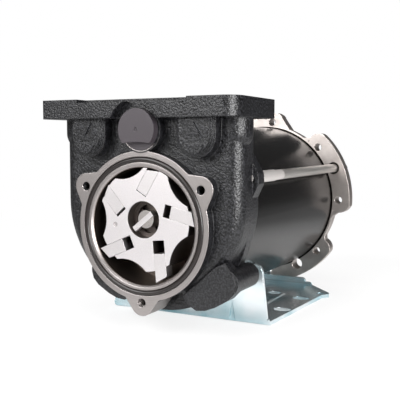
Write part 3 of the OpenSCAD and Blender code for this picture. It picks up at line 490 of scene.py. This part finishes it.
def helixTree():
    # a helical rod of the given sides and thickness, repeated along a line of places
    tree = bpy.data.node_groups.new("helixSet", "GeometryNodeTree")
    given = addSockets(tree, {
        "Turns": ("Float", 6.0), "Radius": ("Float", 0.01), "Length": ("Float", 0.01),
        "Rod Radius": ("Float", 0.0005), "Sides": ("Int", 3), "Count": ("Int", 1),
        "Start": ("Vector", None), "Step": ("Vector", None), "Turn": ("Rotation", None),
        "Material": ("Material", None),
    })
    stepsPerTurn = 48
    helix = addNode(tree, "GeometryNodeCurveSpiral", Resolution=stepsPerTurn, Rotations=given["Turns"],
                    Start_Radius=given["Radius"], End_Radius=given["Radius"], Height=given["Length"])
    section = addNode(tree, "GeometryNodeCurvePrimitiveCircle", Resolution=given["Sides"],
                      Radius=given["Rod Radius"])
    rod = addNode(tree, "GeometryNodeCurveToMesh", Curve=helix, Profile_Curve=section, Fill_Caps=True)
    line = addNode(tree, "GeometryNodeMeshLine", {"mode": "OFFSET"}, Count=given["Count"],
                   Start_Location=given["Start"], Offset=given["Step"])
    finishGeometry(tree, line, rod, given["Turn"], given["Material"])
    return tree


def screwTree():
    # one screw shape repeated at rows and columns of places on a plane across the Y axis
    tree = bpy.data.node_groups.new("screwField", "GeometryNodeTree")
    given = addSockets(tree, {
        "Screw": ("Object", None), "Columns": ("Int", 2), "Rows": ("Int", 2), "Wide": ("Float", 0.06),
        "High": ("Float", 0.06), "Centre": ("Vector", None), "Turn": ("Rotation", None),
        "Material": ("Material", None),
    })
    field = addNode(tree, "GeometryNodeMeshGrid", Size_X=given["Wide"], Size_Y=given["High"],
                    Vertices_X=given["Columns"], Vertices_Y=given["Rows"])
    placed = addNode(tree, "GeometryNodeTransform", Geometry=field, Translation=given["Centre"],
                     Rotation=(math.pi / 2, 0, 0))
    shape = addNode(tree, "GeometryNodeObjectInfo", Object=given["Screw"]).outputs["Geometry"]
    finishGeometry(tree, placed, shape, given["Turn"], given["Material"])
    return tree


def growPiece(name, tree, values):
    # runs the tree with the given inputs and keeps the result as a plain closed mesh
    weldDistance = 1e-7
    carrier = bpy.data.objects.new(name + "Carrier", bpy.data.meshes.new(name + "Carrier"))
    bpy.context.collection.objects.link(carrier)
    modifier = carrier.modifiers.new("grow", "NODES")
    modifier.node_group = tree
    for item in tree.interface.items_tree:
        if item.in_out == "INPUT" and item.name in values:
            modifier[item.identifier] = values[item.name]
    grown = carrier.evaluated_get(bpy.context.evaluated_depsgraph_get())
    mesh = bpy.data.meshes.new_from_object(grown)
    bpy.data.objects.remove(carrier)
    piece = bpy.data.objects.new(name, mesh)
    bpy.context.collection.objects.link(piece)
    shape = bmesh.new()
    shape.from_mesh(mesh)
    bmesh.ops.remove_doubles(shape, verts=shape.verts, dist=weldDistance)
    bmesh.ops.recalc_face_normals(shape, faces=shape.faces)
    shape.to_mesh(mesh)
    shape.free()
    return piece


helixGroup = helixTree()
alongY = (-math.pi / 2, 0, 0)
threads = {                   # ridges of the two ports, the three tapped holes and the rods' rear ends
    "port": {"turns": 7.5, "radius": 12.2 * mm, "length": 12.5 * mm, "ridge": 0.85 * mm},
    "tapped": {"turns": 11.0, "radius": 2.62 * mm, "length": 11.0 * mm, "ridge": 0.42 * mm},
    "rod": {"turns": 7.0, "radius": 2.86 * mm, "length": 7.2 * mm, "ridge": 0.4 * mm},
    "sides": 3,
    "portStart": 117.3 * mm,
    "tappedStart": -103 * mm,
    "rodStart": 84.6 * mm,
    "lugX": 36.754 * mm,          # the tapped holes, from the chamber's axis
    "lugHigh": 21.22 * mm,
    "lugLow": -42.44 * mm,
}
threadPlaces = {
    # name, kind, first place, step, count, turn, material
    "portThreads": ("port", (-pump["portX"], pump["portY"], threads["portStart"]),
                    (2 * pump["portX"], 0, 0), 2, (0, 0, 0), castIron),
    "upperHoleThreads": ("tapped", (-threads["lugX"], threads["tappedStart"],
                                    pump["chamberAxis"] + threads["lugHigh"]),
                         (2 * threads["lugX"], 0, 0), 2, alongY, castIron),
    "lowerHoleThread": ("tapped", (0, threads["tappedStart"], pump["chamberAxis"] + threads["lugLow"]),
                        (0, 0, 0), 1, alongY, castIron),
    "rodThreads": ("rod", (-pump["rodX"], threads["rodStart"], pump["rodZ"]),
                   (2 * pump["rodX"], 0, 0), 2, alongY, barSteel),
}
for name, (kind, start, step, count, turn, material) in threadPlaces.items():
    size = threads[kind]
    piece = growPiece(name, helixGroup, {
        "Turns": size["turns"], "Radius": size["radius"], "Length": size["length"],
        "Rod Radius": size["ridge"], "Sides": threads["sides"], "Count": count, "Start": start,
        "Step": step, "Turn": turn, "Material": material,
    })
    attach(piece, "casing")

springs = {                   # compression springs, each held at its anchor and pressed by a sliding piece
    "bypass": {"turns": 6.5, "radius": 4.7 * mm, "wire": 0.6 * mm, "length": 12.79 * mm, "keep": 0.7},
    "brush": {"turns": 5.5, "radius": 2.4 * mm, "wire": 0.5 * mm, "length": 9.516 * mm, "keep": 0.61},
    "sides": 10,
    "bypassStart": -101.67 * mm,
    "bypassAnchor": -102.35 * mm,
    "brushStart": 32.667 * mm,
    "brushAnchor": 42.75 * mm,
    "brushY": 39.95 * mm,
}
springPlaces = {
    # name, kind, start, turn, node, joint, squash axis, anchor
    "bypassSpring": ("bypass", (0, springs["bypassStart"], pump["capAxis"]), alongY,
                     "bypass_spring", "bypass_slide", (0, 1, 0),
                     (0, springs["bypassAnchor"], pump["capAxis"])),
}
for side, name in ((1, "right"), (-1, "left")):
    springPlaces[name + "BrushSpring"] = (
        "brush", (side * springs["brushStart"], springs["brushY"], pump["motorAxis"]),
        (0, side * math.pi / 2, 0), f"brush_spring_{name}", f"brush_{name}_slide", (1, 0, 0),
        (side * springs["brushAnchor"], springs["brushY"], pump["motorAxis"]))
for name, (kind, start, turn, node, joint, axis, anchor) in springPlaces.items():
    size = springs[kind]
    piece = growPiece(name, helixGroup, {
        "Turns": size["turns"], "Radius": size["radius"], "Length": size["length"],
        "Rod Radius": size["wire"], "Sides": springs["sides"], "Count": 1, "Start": start,
        "Step": (0, 0, 0), "Turn": turn, "Material": barSteel,
    })
    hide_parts(node)
    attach(piece, "casing")
    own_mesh(piece)

print("screws")


def screwShape(name, size):
    # Socket screw along Z: shank from 0 down, head up from 0, with a rounded rim and a hex socket
    steps, hexSides, rimAngles = 48, 6, (0.4, 0.8, 1.2)
    rim, socket, deep = size["rim"], size["socket"], size["deep"]
    head, top, shank, reach = size["head"], size["top"], size["shank"], size["reach"]
    tip, taper = shank * 0.72, shank * 0.28
    profile = [(tip, -reach), (shank, taper - reach), (shank, 0), (head, 0), (head, top - rim)]
    profile += [(head - rim + rim * math.cos(a), top - rim + rim * math.sin(a)) for a in rimAngles]
    profile += [(head - rim, top)]
    turns = [k * math.tau / steps for k in range(steps)]
    outlines = [([radius] * steps, height) for radius, height in profile]
    flat = math.cos(math.pi / hexSides)
    hexRadii = [socket * flat / math.cos(turn % (math.tau / hexSides) - math.pi / hexSides)
                for turn in turns]
    outlines += [(hexRadii, top), (hexRadii, top - deep)]
    shape = bmesh.new()
    rings = [[shape.verts.new((radius * math.cos(turn), radius * math.sin(turn), height))
              for radius, turn in zip(radii, turns)] for radii, height in outlines]
    for lower, upper in zip(rings, rings[1:]):
        for k in range(steps):
            ahead = (k + 1) % steps
            shape.faces.new((lower[k], lower[ahead], upper[ahead], upper[k]))
    shape.faces.new(list(reversed(rings[0])))
    shape.faces.new(rings[-1])
    mesh = bpy.data.meshes.new(name)
    shape.to_mesh(mesh)
    shape.free()
    return bpy.data.objects.new(name, mesh)


screws = {
    "coverScrew": {"head": 3.6 * mm, "top": 3.2 * mm, "shank": 2.0 * mm, "reach": 7.4 * mm,
                   "rim": 0.5 * mm, "socket": 1.9 * mm, "deep": 1.6 * mm},
    "flangeScrew": {"head": 2.9 * mm, "top": 2.2 * mm, "shank": 1.5 * mm, "reach": 10.8 * mm,
                    "rim": 0.7 * mm, "socket": 1.4 * mm, "deep": 1.1 * mm},
    "coverSpan": 88 * mm * math.sqrt(0.5),       # four screws on a circle of 88 mm
    "coverY": 83.3 * mm,
    "flangeSpan": 8.2 * mm,
    "flangePlace": (0, 72.5 * mm, 7.9 * mm),
}
screwGroup = screwTree()
screwFields = {
    # name, screw, columns, rows, width, height, centre, turn of each screw, node
    "endScrews": ("coverScrew", 2, 2, screws["coverSpan"], screws["coverSpan"],
                  (0, screws["coverY"], pump["motorAxis"]), (-math.pi / 2, 0, 0), "cover_screws"),
    "lowScrews": ("flangeScrew", 2, 1, screws["flangeSpan"], 0.0, screws["flangePlace"],
                  (math.pi / 2, 0, 0), "flange_screws"),
}
for name, (screw, columns, rows, wide, high, centre, turn, node) in screwFields.items():
    model = screwShape(screw + "Shape", screws[screw])
    bpy.context.collection.objects.link(model)
    piece = growPiece(name, screwGroup, {
        "Screw": model, "Columns": columns, "Rows": rows, "Wide": wide, "High": high,
        "Centre": centre, "Turn": turn, "Material": zincFastener,
    })
    bpy.data.objects.remove(model)
    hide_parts(node)
    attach(piece, "casing")
